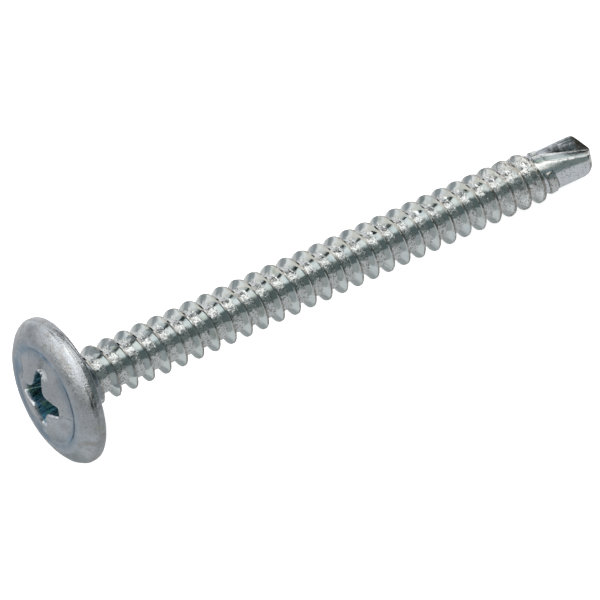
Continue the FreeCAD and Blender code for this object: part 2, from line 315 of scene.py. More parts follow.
def cross_outline(reach, width, corner, tip_round, corner_round):
    """The cross recess's outline at one height, as x and y about the wings' own directions.

    A twelve-cornered cross: each corner is a quadratic arc between points a short way back on
    its two sides, and the sides are straight. The count of points is the same for all sizes.
    """
    quarter = np.array([
        [corner * math.sqrt(0.5), -corner * math.sqrt(0.5)],
        [reach, -width / 2],
        [reach, width / 2],
    ])
    turns = np.radians([0.0, 90.0, 180.0, 270.0])
    spin = np.stack([np.cos(turns), -np.sin(turns), np.sin(turns), np.cos(turns)], axis=-1).reshape(4, 2, 2)
    corners = np.einsum("kij,nj->kni", spin, quarter).reshape(-1, 2)
    rounds = np.tile([corner_round, tip_round, tip_round], 4)[:, None]
    before, after = np.roll(corners, 1, axis=0), np.roll(corners, -1, axis=0)
    back = corners + rounds * (before - corners) / np.linalg.norm(before - corners, axis=1, keepdims=True)
    on = corners + rounds * (after - corners) / np.linalg.norm(after - corners, axis=1, keepdims=True)
    arcs = bend(back, corners, on, CORNER_STEPS).transpose(1, 0, 2)
    runs = []
    steps = [WALL_STEPS, TIP_STEPS, WALL_STEPS] * 4
    following = np.roll(back, -1, axis=0)
    for index, count in enumerate(steps):
        share = np.linspace(0.0, 1.0, count + 2)[1:-1, None]
        runs.append(np.vstack([arcs[index], (1 - share) * on[index] + share * following[index]]))
    return np.vstack(runs)


def head_profile(sizes):
    """Radius and height of the turned form, from the crease round the ring and rim to the neck."""
    foot = sizes.dome / 2
    rim = sizes.flange / 2
    ring = flowing([
        (foot + 0.005, sizes.dome_foot - 0.7 * sizes.crease_depth), (foot + 0.07, sizes.dome_foot - 0.02),
        (foot + 0.22, sizes.dome_foot + 0.03), (4.05, 1.61), (4.35, 1.55), (4.6, 1.42), (4.75, 1.33), (4.9, 1.22),
        (5.05, 1.1), (5.2, 0.97), (5.33, 0.83), (rim - 0.1, 0.7), (rim - 0.05, 0.62), (rim - 0.035, 0.59),
        (rim - 0.012, 0.55), (rim, 0.48), (rim, 0.34), (rim - 0.005, 0.2), (rim - 0.05, 0.07),
        (rim - 0.14, 0.015), (rim - 0.26, 0.0)], 5)
    neck = sizes.neck / 2
    under = np.array([
        (4.4, 0.0), (3.4, 0.0), (2.6, 0.0), (neck + 0.42, 0.0), (neck + 0.25, -0.09), (neck + 0.1, -0.24),
        (neck, -0.42), (neck, -0.8), (1.6, -1.05), (1.475, -1.25), (1.38, -1.4), (0.6, -1.4)])
    return np.vstack([ring, under])


# The cross recess where its walls start, over the dome, and at their foot, by the floor.
OVER_DOME = 0.3
FOOT_HEIGHT = -0.293
FLOOR_DROP = 0.28
REACH_OVER_DOME = 0.308
CROSS_OVER_DOME = {"width": 0.838, "corner": 1.122, "tip_round": 0.12, "corner_round": 0.5}
CROSS_AT_FOOT = {"reach": 1.145, "width": 0.56, "corner": 0.78, "tip_round": 0.08, "corner_round": 0.26}

# Depths that forging and wear leave on the head. The lap is a dark line that climbs the rim.
FOLD_DEPTH = 0.22
EDGE_WEAR = 0.016
RIM_WEAR = 0.02
LAP_DEPTH = 0.03
CREASE_FILL = 0.06


def recess_rows(sizes):
    """Rows of the cross recess: its floor from the middle out, its walls and its worn edge.

    The walls are straight lines from the outline above the dome to the outline at their foot,
    as far up as they meet the dome's sphere, and the edge is two quadratic arcs. With them
    comes the angle of each column at the mouth.
    """
    top_height = sizes.dome_foot + sizes.dome_rise + OVER_DOME
    top = cross_outline(sizes.recess / 2 + REACH_OVER_DOME, **CROSS_OVER_DOME)
    foot = cross_outline(**CROSS_AT_FOOT)
    # Where the walls meet the dome: each try takes the dome's height at the last try's place.
    drop = np.full(len(top), OVER_DOME)
    for _ in range(8):
        share = drop / (top_height - FOOT_HEIGHT)
        place = (1 - share[:, None]) * top + share[:, None] * foot
        drop = top_height - dome_height(np.linalg.norm(place, axis=1), sizes)
    mouth = np.column_stack([place, top_height - drop])
    foot = np.column_stack([foot, np.full(len(top), FOOT_HEIGHT)])
    edge = sizes.recess_edge
    below = mouth + (foot - mouth) * (edge / (top_height - FOOT_HEIGHT))
    depth = np.linspace(0.0, 1.0, 15)[:-1, None, None]
    walls = foot + depth * (below - foot)

    # The worn edge, from the wall below the mouth to the dome beyond it.
    ahead = np.roll(mouth[:, :2], -1, axis=0) - np.roll(mouth[:, :2], 1, axis=0)
    normal = np.column_stack([ahead[:, 1], -ahead[:, 0]])
    normal /= np.linalg.norm(normal, axis=1, keepdims=True)
    beyond = mouth[:, :2] + 0.7 * edge * normal
    beyond = np.column_stack([beyond, dome_height(np.linalg.norm(beyond, axis=1), sizes)])
    upper, lower = beyond + 0.35 * (mouth - beyond), below + 0.35 * (mouth - below)
    middle = (upper + lower) / 2
    lip = np.concatenate([bend(below, lower, middle, 5), bend(middle, upper, beyond, 5)[1:]])
    inner = foot * np.array([1.0, 1.0, 0.0])
    floor_share = np.array([0.04, 0.3, 0.6, 0.85])[:, None, None]
    floor = inner * floor_share
    floor[..., 2] = FOOT_HEIGHT - FLOOR_DROP * (1 - floor_share[..., 0])
    return floor, walls, lip, np.unwrap(np.arctan2(mouth[:, 1], mouth[:, 0]))


def dome_rows(sizes, start, angle, even):
    """Rows of the dome, from the end of the recess's edge to the circle at the dome's foot.

    Each row is a blend of the start and that circle, and its columns spread out from their own
    angles to even ones. The height is the dome's sphere less a fold beside each wing.
    """
    spread = np.linspace(0.0, 1.0, 24)[1:, None]
    mixed = (1 - spread) * angle + spread * even
    foot_radius = sizes.dome / 2
    rims = foot_radius * np.stack([np.cos(mixed), np.sin(mixed)], axis=-1)
    dome = (1 - spread[..., None]) * start[None, :, :2] + spread[..., None] * rims
    radius = np.linalg.norm(dome, axis=-1)
    past_wing = (np.degrees(np.arctan2(dome[..., 1], dome[..., 0])) + 45) % 90 - 45
    fold = (FOLD_DEPTH * smoothstep(0.0, 8.0, past_wing) * smoothstep(42.0, 14.0, past_wing)
            * smoothstep(2.1, 2.7, radius) * smoothstep(foot_radius, 3.3, radius))
    return np.concatenate([dome, (dome_height(radius, sizes) - fold)[..., None]], axis=-1)


def head_wear(sizes, grid, wall_rows, edge_rows):
    """How far forging and wear push each point of the head out, and the masks for its plating.

    Dents lie all over, the recess's edge and the rim are rough, the lap climbs the rim, and the
    crease is filled on one side.
    """
    row = np.arange(len(grid))[:, None]
    radius = np.hypot(grid[..., 0], grid[..., 1])
    height = -grid[..., 2]
    foot_radius = sizes.dome / 2
    on_face, off_bearing = height > 1.2, height > 0.02
    in_recess = row < wall_rows
    on_edge = (row >= wall_rows - 1) & (row < wall_rows + edge_rows)
    on_rim = smoothstep(5.36, 5.46, radius) * off_bearing
    facing = FACING - np.degrees(np.arctan2(grid[..., 1], grid[..., 0]))
    facing = (facing + 180) % 360 - 180
    lap_height = np.interp(facing, [10, 50], [0.12, 0.5]) + 0.03 * uneven(grid, 0.5, 5)
    lap = bell(height, lap_height, 0.035) * smoothstep(8, 14, facing) * smoothstep(54, 46, facing) * on_rim
    dents = uneven(grid, 0.9, 1) + 0.5 * uneven(grid, 0.35, 2)
    filled = bell(radius, foot_radius + 0.01, 0.05) * smoothstep(40, 80, np.abs(facing + 20))
    amount = (sizes.wear * dents * ~in_recess * off_bearing + EDGE_WEAR * uneven(grid, 0.22, 3) * on_edge
              - RIM_WEAR * np.abs(uneven(grid, 0.3, 4)) * on_rim - LAP_DEPTH * lap)
    amount += CREASE_FILL * filled * on_face
    corner_line = bell(height, 0.6, 0.05) * (radius > 5.3)
    marks = {
        "recess": 1.0 * in_recess, "rim": np.clip(0.15 * on_rim + 0.3 * corner_line, 0, 1), "lap": 0.6 * lap,
        "hollow": bell(radius, foot_radius + 0.12, 0.42) * (~in_recess) * on_face,
        "ring": smoothstep(foot_radius + 0.3, 4.6, radius)}
    return amount, marks


def head_grid(sizes):
    """Rows from the middle of the recess's floor up its walls, over the dome and round the head.

    Past the dome each row is a circle at the profile's radius and height. All of it is turned
    about the axis by the recess's own turn, and the wear comes on top.
    """
    floor, walls, lip, angle = recess_rows(sizes)
    even = angle[0] + 2 * math.pi * np.arange(len(angle)) / len(angle)
    profile = head_profile(sizes)
    turned = np.stack([
        profile[:, :1] * np.cos(even), profile[:, :1] * np.sin(even),
        np.broadcast_to(profile[:, 1:], (len(profile), len(even)))], axis=-1)
    rows = np.concatenate([floor, walls, lip, dome_rows(sizes, lip[-1], angle, even), turned])
    turn = math.radians(sizes.recess_turn)
    x = rows[..., 0] * math.cos(turn) - rows[..., 1] * math.sin(turn)
    y = rows[..., 0] * math.sin(turn) + rows[..., 1] * math.cos(turn)
    grid = np.stack([x, y, -rows[..., 2]], axis=-1)
    amount, marks = head_wear(sizes, grid, len(floor) + len(walls), len(lip))
    return raised(grid, amount), marks


def rough_line(length, spacing, seed):
    """A random line of knots joined by smooth steps, one value for each place from 0 to length."""
    knots = np.random.default_rng(seed).random(int(length / spacing) + 2)

    def at(place):
        whole = np.floor(place / spacing).astype(int)
        share = smoothstep(0.0, 1.0, place / spacing - whole)
        return (1 - share) * knots[whole] + share * knots[whole + 1]
    return at


STEPS_PER_TURN = 90
LAST_FULL_TURN = 29 * 360
PAST_IT = 400
# How far along the axis the two low remains leave the helix, for degrees past the last full turn.
REMAINS_DRIFT = ([110, 150, 200, 228, 308], [0.0, -0.15, -0.5, -0.5, 0.0])
# Half the crest's flat, as a multiple of its size, for degrees past the last full turn.
CREST_FLAT = np.array([
    (-4 * 360, 0.7), (-360, 1.1), (-40, 1.2), (40, 1.4), (122, 1.2), (134, 2.0), (152, 2.3), (168, 1.2),
    (212, 1.6), (224, 2.2), (240, 3.0), (320, 3.0), (PAST_IT, 2.0)])
# How deep a flank's foot runs under the root, and its last row, which is out of sight.
UNDER_ROOT = 0.006
HIDDEN = 0.08


def ridge_grid(sizes):
    """The thread's ridge: a trapezium with hollow feet carried along a helix, closed at both ends.

    The crest's radius and the width of its flat follow the turn: both start small under the
    head, hold along the shank, fall away after the last full turn and come up again in two low
    remains beside the flutes. The feet of the flanks run out into the root in quadratic arcs.
    """
    end = LAST_FULL_TURN + PAST_IT
    turn = np.arange(0.0, end + 1e-6, 360.0 / STEPS_PER_TURN)
    past = turn - LAST_FULL_TURN
    crest, root = sizes.crest / 2, sizes.root / 2
    first = -LAST_FULL_TURN
    knots = np.array([
        (first, root - 0.05), (first + 80, crest - 0.05), (first + 120, crest), (-320, crest), (-220, crest - 0.07),
        (-130, crest - 0.02), (-40, crest), (-10, crest - 0.06), (40, 1.66), (75, 1.58), (122, 1.56), (130, 1.71),
        (150, 1.82), (164, 1.74), (168, 1.42), (214, 1.42), (224, 1.64), (234, 1.78), (250, 1.83), (320, 1.79),
        (380, 1.66), (PAST_IT, 1.42)])
    height = np.interp(past, knots[:, 0], knots[:, 1])
    flat = sizes.crest_flat * np.interp(past, CREST_FLAT[:, 0], CREST_FLAT[:, 1])
    drift = np.interp(past, *REMAINS_DRIFT)
    # The tail is the last five turns, which are more worn, and a full crest takes the nicks.
    tail = smoothstep(-5 * 360, -360, past)
    full = smoothstep(root + 0.3, root + 0.45, height)
    nick = rough_line(end + 40, 17.0, 11)(turn) ** 4 + 0.6 * rough_line(end + 40, 6.0, 12)(turn) ** 6
    height = height - sizes.nick * (1 + 0.8 * tail) * nick * full

    # The section's half, from the crest down a flank: half widths with their radii.
    tan = math.tan(math.radians(sizes.flank))
    deep = np.maximum(height - root, 0.02)
    soft = np.minimum(0.018, 0.3 * deep)
    half_widths = [0.0 * flat, flat, flat + soft * tan * 0.6]
    radii = [height, height - 0.002, height - soft * 0.9]
    for level in (1.0, 0.8, 0.6, 0.4, 0.2):
        radius = root + (deep - 1.6 * soft) * level
        half_widths.append(flat + (height - radius) * tan)
        radii.append(radius)
    foot = flat + deep * tan
    start = np.stack([half_widths[-1], radii[-1]], axis=-1)
    corner = np.stack([foot, np.full_like(foot, root)], axis=-1)
    runout = np.stack([foot + sizes.fillet, np.full_like(foot, root - UNDER_ROOT)], axis=-1)
    arc = bend(start, corner, runout, 6)[1:]
    half_widths += [*arc[..., 0], foot + sizes.fillet + 0.03]
    radii += [*arc[..., 1], np.full_like(foot, root - HIDDEN)]
    half_widths, radii = np.array(half_widths).T, np.array(radii).T
    widths = np.concatenate([half_widths[:, ::-1], -half_widths[:, 1:]], axis=1)
    radii = np.concatenate([radii[:, ::-1], radii[:, 1:]], axis=1)
    middle = sizes.start + sizes.pitch * turn[:, None] / 360.0 + drift[:, None]
    grid = polar(radii, turn[:, None], middle + widths)

    # The crumple is full in the root, less on the tail's flanks and strongest on the last remains.
    in_root = smoothstep(0.2, 0.02, radii - root)
    amount = (sizes.crumple * (0.75 * uneven(grid, 0.3, 21) + 0.35 * uneven(grid, 0.17, 22))
              * np.clip(in_root + 0.7 * tail[:, None] + 0.04, 0, 1))
    amount *= 1 + 1.4 * smoothstep(200, 230, past)[:, None]
    on_crest = 1.0 - np.clip((height[:, None] - radii) / (0.03 + 0.03 * tail[:, None]), 0.0, 1.0)
    # A dark line painted as shade along the flanks of the low remains goes in with the crest's line.
    seam = bell(radii, 1.665, 0.035) * smoothstep(100, 120, past)[:, None]
    return raised(grid, amount), {
        "edge": np.maximum(on_crest * full[:, None], seam), "root": in_root, "tail": tail[:, None]}


# The root's first and last height, inside the neck and the drill point, and its grid.
CORE_ENDS = (0.9, 42.6)
CORE_ROWS = 720
CORE_COLUMNS = 100


def core_grid(sizes):
    """The thread's root: a cylinder from neck to drill point, crumpled like foil by the rolling."""
    height = np.linspace(*CORE_ENDS, CORE_ROWS)[:, None]
    turn = np.arange(CORE_COLUMNS)[None, :] * 360.0 / CORE_COLUMNS
    grid = polar(sizes.root / 2, turn, height)
    crumple = 0.8 * uneven(grid, 0.26, 31) + 0.5 * uneven(grid, 0.15, 32)
    tail = smoothstep(sizes.start + 24 * sizes.pitch, sizes.start + 28 * sizes.pitch, height)
    return raised(grid, sizes.crumple * crumple), {"root": 1.0, "edge": 0.0, "tail": tail}


# The drill point's start inside the thread's end, and its shoulder: how far the bevel
# before the cone goes in and along.
DRILL_START = 40.9
SHOULDER_IN = 0.15
SHOULDER_ALONG = 0.4
# Heights, and the turn of the heel's and the lip's outer edge there, from the side that faces
# the camera.
HEEL_EDGE = ([41.17, 42.06, 42.95, 43.74, 44.82, 45.79, 47.2], [23, 19, 13.3, 6.1, -1.9, -9.9, -20])
LIP_EDGE = ([42.3, 46.0, 47.2], [68, 79, 82])
# The flute's valley runs straight between two points, each as x, y and height.
VALLEY_FROM = (1.09, 1.24, 42.47)
VALLEY_TO = (0.25, 0.09, 47.05)
HEEL_WIDTH = 0.5
# Points of half a section: rounded heel, heel wall, rounded valley, lip wall and land.
HEEL_POINTS, WALL_POINTS, VALLEY_POINTS, LIP_POINTS, LAND_POINTS = 7, 9, 7, 29, 31


def cone_height(sizes):
    """Height at which the drill point's cone starts: its end less the cone's own length."""
    return sizes.length - (sizes.land / 2 - SHOULDER_IN - sizes.blunt / 2) / math.tan(math.radians(sizes.cone))


def drill_outline(height, sizes):
    """Radius of the drill point as turned: cone up from the root, land, bevel, cone, blunt end."""
    land, cone_start = sizes.land / 2, cone_height(sizes)
    shape = np.array([
        (DRILL_START, 1.38), (41.05, 1.46), (41.5, 1.6), (41.75, land), (cone_start - SHOULDER_ALONG, land),
        (cone_start - 0.2, land - 0.04), (cone_start, land - SHOULDER_IN), (sizes.length, sizes.blunt / 2)])
    return np.interp(height, shape[:, 0], shape[:, 1])


def wall_end(floor, angle, outer, land):
    """Where the wall from the valley's floor towards the land's edge crosses the turned outline.

    The root of the quadratic for the share of the way at which the radius is the outline's.
    """
    angle = np.radians(angle)
    target = np.maximum(outer, land)[:, None] * np.column_stack([np.cos(angle), np.sin(angle)])
    way = target - floor
    a = (way ** 2).sum(1)
    b = (way * floor).sum(1)
    c = (floor ** 2).sum(1) - outer ** 2
    reach = (-b + np.sqrt(b * b - a * c)) / a
    return floor + reach[:, None] * way


def toward(start, end, length):
    """Points at the length from start on the way to end, or a third of the way if that is nearer."""
    way = end - start
    span = np.linalg.norm(way, axis=1, keepdims=True)
    return start + way * np.minimum(length / np.maximum(span, 1e-9), 0.33)


def run(start, end, count, last=False):
    """A straight line of points from start to end in each row, with or without the last."""
    share = np.linspace(0.0, 1.0, count, endpoint=last)[None, :, None]
    return start[:, None, :] + share * (end - start)[:, None, :]


def drill_sections(sizes, heights):
    """The drill point's section at each height, as x from the side that faces the camera and y.

    A section is two straight walls that meet in a rounded valley and an arc of the land with a
    rounded heel, twice, the second time turned by half a turn. The valley is straight in space,
    the walls' outer edges wander round the land, and past the shoulder the walls end on the cone.
    """
    outer = drill_outline(heights, sizes)
    (x_from, y_from, from_height), (x_to, y_to, to_height) = VALLEY_FROM, VALLEY_TO
    share = (heights - from_height) / (to_height - from_height)
    floor = np.column_stack([x_from + share * (x_to - x_from), y_from + share * (y_to - y_from)])
    distance = np.linalg.norm(floor, axis=1)
    floor *= (np.minimum(distance, outer - 0.004) / distance)[:, None]
    heel_end, lip_end = (wall_end(floor, np.interp(heights, *edge), outer, sizes.land / 2)
                         for edge in (HEEL_EDGE, LIP_EDGE))
    heel_turn = np.arctan2(heel_end[:, 1], heel_end[:, 0])
    back_turn = heel_turn - HEEL_WIDTH / outer
    heel_back = outer[:, None] * np.column_stack([np.cos(back_turn), np.sin(back_turn)])
    heel_round = bend(heel_back, heel_end, toward(heel_end, floor, 0.12), HEEL_POINTS).transpose(1, 0, 2)
    valley_in, valley_out = toward(floor, heel_end, 0.09), toward(floor, lip_end, 0.09)
    valley = bend(valley_in, floor, valley_out, VALLEY_POINTS).transpose(1, 0, 2)
    arc_start = np.arctan2(lip_end[:, 1], lip_end[:, 0])
    share = np.linspace(0.0, 1.0, LAND_POINTS + 1, endpoint=False)[None, 1:]
    angles = arc_start[:, None] + share * (back_turn + math.pi - arc_start)[:, None]
    arc = outer[:, None, None] * np.stack([np.cos(angles), np.sin(angles)], axis=-1)
    half = np.concatenate([
        heel_round, run(heel_round[:, -1], valley_in, WALL_POINTS + 1)[:, 1:], valley,
        run(valley_out, lip_end, LIP_POINTS + 1, last=True)[:, 1:], arc], axis=1)
    return np.concatenate([half, -half], axis=1)


def twice(*runs):
    """One value for each column from runs of shares, for both flutes, in the grid's own order."""
    return np.tile(np.concatenate(runs), 2)[::-1]


def drill_masks():
    """Each column's share of the lip wall, of the heel and its wall, of the land, and of the pale lines painted as
    highlights along the heel and the valley.
    """
    beyond_valley = LIP_POINTS + LAND_POINTS
    lip = twice(
        np.zeros(HEEL_POINTS + WALL_POINTS + VALLEY_POINTS), np.linspace(0, 1, LIP_POINTS), np.zeros(LAND_POINTS))
    heel = twice(
        np.linspace(0, 1, HEEL_POINTS), np.linspace(1, 0.2, WALL_POINTS), np.zeros(VALLEY_POINTS + beyond_valley))
    land = twice(
        np.linspace(1, 0, HEEL_POINTS), np.zeros(WALL_POINTS + VALLEY_POINTS + LIP_POINTS), np.ones(LAND_POINTS))
    # The pale lines painted as highlights on the rounded heel and along the valley.
    bright = twice(
        np.ones(HEEL_POINTS + 1), np.zeros(WALL_POINTS - 2), np.ones(VALLEY_POINTS + 1), np.zeros(beyond_valley))
    return {"lip": lip, "heel": heel, "land": land, "bright": bright}


def drill_grid(sizes):
    """The drill point with its two flutes, one section a row.

    Lines run along the lip wall, the rest is slightly uneven, and the lip's edge is chipped.
    """
    cone_start = cone_height(sizes)
    shoulder = cone_start - SHOULDER_ALONG
    heights = np.concatenate([
        np.linspace(DRILL_START, 41.7, 13)[:-1], np.linspace(41.7, shoulder, 90)[:-1],
        np.linspace(shoulder, cone_start, 9)[:-1], np.linspace(cone_start, sizes.length, 18)])
    section = drill_sections(sizes, heights)
    turn = math.radians(FACING) - np.arctan2(section[..., 1], section[..., 0])
    radius = np.linalg.norm(section, axis=-1)
    grid = np.stack([
        radius * np.cos(turn), radius * np.sin(turn),
        np.broadcast_to(heights[:, None], radius.shape)], axis=-1)[:, ::-1]
    marks = drill_masks()
    lip_share = marks["lip"]
    side = np.repeat([1.0, 0.0], section.shape[1] // 2)
    lines = uneven(np.stack(np.broadcast_arrays(
        lip_share[None, :] * 9 + side * 20, heights[:, None] * 0.35, 0.0), axis=-1), 1.0, 41)
    amount = (sizes.scratch * lines * smoothstep(0.0, 0.1, lip_share) + 0.01 * uneven(grid, 0.45, 42)
              + 0.006 * uneven(grid, 0.2, 43) - 0.03 * np.abs(uneven(grid, 0.25, 44)) * (lip_share > 0.96))
    worn = smoothstep(cone_start - 0.45, cone_start - 0.1, heights)[:, None]
    # A dark line painted as shade on both sides of the ridge's two remains.
    turn = np.degrees(np.arctan2(grid[..., 1], grid[..., 0])) % 360
    middle = sizes.thread_end + sizes.thread_pitch * turn / 360 + np.interp(turn, *REMAINS_DRIFT)
    beside = np.abs(heights[:, None] - middle)
    seam = np.maximum(bell(beside, 0.4, 0.05) * smoothstep(222, 226, turn),
                      0.6 * bell(beside, 0.28, 0.08) * bell(turn, 150, 12))
    return raised(grid, amount), {
        **marks, "worn": worn, "seam": seam, "tail": smoothstep(42.6, 41.6, heights)[:, None]}


def add_node(tree, kind, settings=None, inputs=None, links=None):
    """A node with its settings, the values of its sockets and the sockets or values that feed it."""
    node = tree.nodes.new(kind)
    for label, value in (settings or {}).items():
        setattr(node, label, value)
    for label, feed in {**(inputs or {}), **(links or {})}.items():
        if isinstance(feed, bpy.types.NodeSocket):
            tree.links.new(feed, node.inputs[label])
        else:
            node.inputs[label].default_value = feed
    return node


# Places of a colour mix's sockets, which share their names with its other kinds.
SHARE, UNDER, OVER, MIXED = 0, 6, 7, 2
# A climb that lies below all of a noise, so that a patch covers the whole of its part.
ALL_OVER = (-0.5, -0.2)
# A streaked pattern is drawn out along the screw by these shares.
WALL_STREAKS = (0.07, 1.0, 1.0)
LIP_STREAKS = (0.06, 1.0, 1.0)


def new_material(name):
    """An empty node material."""
    material = bpy.data.materials.new(name)
    material.use_nodes = True
    material.node_tree.nodes.clear()
    return material


def patches(tree, place, under, colour, size, low, high, mask=None):
    """Patches of another colour over one, where a noise climbs from low to high.

    The noise has its size in millimetres, and the mask, an attribute of the piece, keeps the
    patches to a part of it.
    """
    noise = add_node(tree, "ShaderNodeTexNoise", inputs={"Scale": 1 / (size * MM), "Detail": 3.0, "Roughness": 0.6},
                     links={"Vector": place})
    share = add_node(tree, "ShaderNodeMapRange", {"interpolation_type": "SMOOTHSTEP"},
                     {"From Min": low, "From Max": high}, {"Value": noise.outputs["Fac"]}).outputs["Result"]
    if mask:
        part = add_node(tree, "ShaderNodeAttribute", {"attribute_name": mask}).outputs["Fac"]
        share = add_node(tree, "ShaderNodeMath", {"operation": "MULTIPLY"},
                         links={0: share, 1: part}).outputs[0]
    return add_node(tree, "ShaderNodeMix", {"data_type": "RGBA"}, {OVER: colour},
                    {SHARE: share, UNDER: under}).outputs[MIXED]


def metal(tree, place, colour, roughness, relief):
    """Bare metal of that colour, with a roughness that wanders between two values.

    Each layer of relief is a noise of a size and a depth in millimetres, kept by a mask to a
    part of the piece or spread over all of it.
    """
    noise = add_node(tree, "ShaderNodeTexNoise", inputs={"Scale": 1 / (0.5 * MM), "Detail": 3.0},
                     links={"Vector": place})
    rough = add_node(tree, "ShaderNodeMapRange", inputs={
        "From Min": 0.35, "From Max": 0.65, "To Min": roughness[0], "To Max": roughness[1]},
        links={"Value": noise.outputs["Fac"]})
    below = {}
    for size, depth, mask in relief:
        grain = add_node(tree, "ShaderNodeTexNoise", inputs={
            "Scale": 1 / (size * MM), "Detail": 2.0, "Roughness": 0.6}, links={"Vector": place})
        height = grain.outputs["Fac"]
        if mask:
            part = add_node(tree, "ShaderNodeAttribute", {"attribute_name": mask}).outputs["Fac"]
            height = add_node(tree, "ShaderNodeMath", {"operation": "MULTIPLY"},
                              links={0: height, 1: part}).outputs[0]
        bump = add_node(tree, "ShaderNodeBump", inputs={"Strength": 1.0, "Distance": depth * MM},
                        links={"Height": height, **below})
        below = {"Normal": bump.outputs["Normal"]}
    shader = add_node(tree, "ShaderNodeBsdfPrincipled", inputs={"Metallic": 1.0},
                      links={"Base Color": colour, "Roughness": rough.outputs["Result"], **below})
    add_node(tree, "ShaderNodeOutputMaterial", links={"Surface": shader.outputs["BSDF"]})


def forged_plating(look):
    """Bright zinc plate on a cold forged face, passivated blue.

    Satin and mottled, with a crystalline grain, blue in the hollow round the dome, greenish on
    the ring and brown where the rim has rubbed. Down in the recess it is a dark teal, partly the
    passivate's colour and partly painted shade, with blue and green patches, and streaks that
    the punch drew along its walls. The grain is drawn at about 0.14 mm, coarser than it is.
    """
    material = new_material("bright zinc plate, cold forged")
    tree = material.node_tree
    place = add_node(tree, "ShaderNodeTexCoord").outputs["Object"]
    streaked = add_node(tree, "ShaderNodeMapping", inputs={"Scale": WALL_STREAKS},
                        links={"Vector": place}).outputs["Vector"]
    colour = look.satin
    for layer in (
            # Pale mottling, a brown haze and green on the ring, and blue round the dome.
            (linear("#C8CCD2"), 1.1, 0.45, 0.75), (linear("#A5A4A1"), 0.9, 0.5, 0.75, "ring"),
            (look.green, 2.4, 0.55, 0.75, "ring"), (look.blue, 1.8, 0.2, 0.6, "hollow"),
            # Grey grain, soil on the ring and the rim, and the dark lap.
            (linear("#A2A3A4"), 0.13, 0.52, 0.7), (look.soil, 0.09, 0.62, 0.68, "ring"),
            (look.soil, 0.2, 0.3, 0.6, "rim"), (look.pits_and_shade, 0.12, 0.2, 0.5, "lap"),
            # The recess in a dark teal, partly the passivate's colour and partly painted shade, with its blue and
            # green patches.
            (look.deep, 0.1, *ALL_OVER, "recess"), (linear("#7FA3BE"), 0.8, 0.52, 0.6, "recess"),
            (linear("#93AC9A"), 0.7, 0.56, 0.62, "recess")):
        colour = patches(tree, place, colour, *layer)
    # Pale and dark streaks down the recess's walls.
    colour = patches(tree, streaked, colour, linear("#B6D2D2"), 0.16, 0.52, 0.62, "recess")
    colour = patches(tree, streaked, colour, linear("#12262C"), 0.2, 0.55, 0.6, "recess")
    metal(tree, place, colour, (0.2, 0.34), [(0.14, 0.012, None), (0.16, 0.022, "ring"), (0.1, 0.04, "rim")])
    return material


def rolled_plating(look):
    """Bright zinc plate on a rolled flank, passivated blue.

    Smooth and nearly mirror bright, with faint green and blue patches, a thin line of soil and
    bare steel along the crest, which round the low remains is a dark line of painted shade, and
    crumpled like foil with dark specks at the foot of the flank and in the root. The last turns
    are paler, rougher and more soiled.
    """
    material = new_material("bright zinc plate, rolled")
    tree = material.node_tree
    place = add_node(tree, "ShaderNodeTexCoord").outputs["Object"]
    colour = look.bright
    for layer in (
            # Green and blue tints on the flanks.
            (look.green, 1.5, 0.55, 0.8), (linear("#C9D5DB"), 0.9, 0.5, 0.75),
            # The crumpled root, with grey between its facets and dark specks.
            (look.foil, 0.1, *ALL_OVER, "root"), (linear("#9FA3A3"), 0.14, 0.5, 0.62, "root"),
            (look.pits_and_shade, 0.16, 0.67, 0.71, "root"),
            # Bare, soiled and pitted last turns, and the line along the crest, which round the low remains is painted
            # shade.
            (linear("#E9ECEC"), 0.35, 0.35, 0.55, "tail"), (look.soil, 0.16, 0.56, 0.64, "tail"),
            (look.pits_and_shade, 0.2, 0.65, 0.69, "tail"), (linear("#9E9A94"), 0.25, 0.3, 0.55, "edge")):
        colour = patches(tree, place, colour, *layer)
    metal(tree, place, colour, (0.06, 0.14), [(0.4, 0.004, None), (0.13, 0.026, "root"), (0.14, 0.015, "tail")])
    return material


def pinched_plating(look):
    """Bright zinc plate on the pinched drill point, passivated blue.

    Satin land with a fine grain, dark lines drawn along the lip wall, a green tint on the heel
    wall, pale lines painted as highlights along the heel and the valley, soil on the bevel and
    the cone, and dark lines painted as shade on both sides of the thread's remains.
    """
    material = new_material("bright zinc plate, pinched")
    tree = material.node_tree
    place = add_node(tree, "ShaderNodeTexCoord").outputs["Object"]
    streaked = add_node(tree, "ShaderNodeMapping", inputs={"Scale": LIP_STREAKS},
                        links={"Vector": place}).outputs["Vector"]
    # Pale land, grey grain, dark lines along the lip wall and a green tint on the heel wall.
    colour = patches(tree, place, look.satin, linear("#EFF4FA"), 0.6, 0.1, 0.4, "land")
    colour = patches(tree, place, colour, linear("#A8ADB0"), 0.12, 0.54, 0.66)
    colour = patches(tree, streaked, colour, linear("#8E9398"), 0.12, 0.48, 0.6, "lip")
    colour = patches(tree, place, colour, linear("#B4C8C2"), 0.25, 0.3, 0.5, "heel")
    # Soil on the bevel and the cone, pale lines painted as highlights along the heel and the valley, and dark lines
    # painted as shade beside the thread's remains.
    colour = patches(tree, place, colour, look.soil, 0.3, 0.3, 0.55, "worn")
    colour = patches(tree, place, colour, linear("#F2F4F4"), 0.3, 0.3, 0.5, "bright")
    colour = patches(tree, place, colour, look.pits_and_shade, 0.3, 0.25, 0.45, "seam")
    metal(tree, place, colour, (0.16, 0.28), [(0.12, 0.005, None), (0.2, 0.01, "tail")])
    return material


class SCREW_OT_head(bpy.types.Operator):
    """Build the wafer head with its cross recess, ring, crease and rim"""
    bl_idname = "screw.head"
    bl_label = "Head"

    def execute(self, context):
        grid, marks = head_grid(in_millimetres(context.scene.screw_head))
        make_piece("screw_head", grid, forged_plating(context.scene.screw_plating), 40.0, marks)
        return {"FINISHED"}


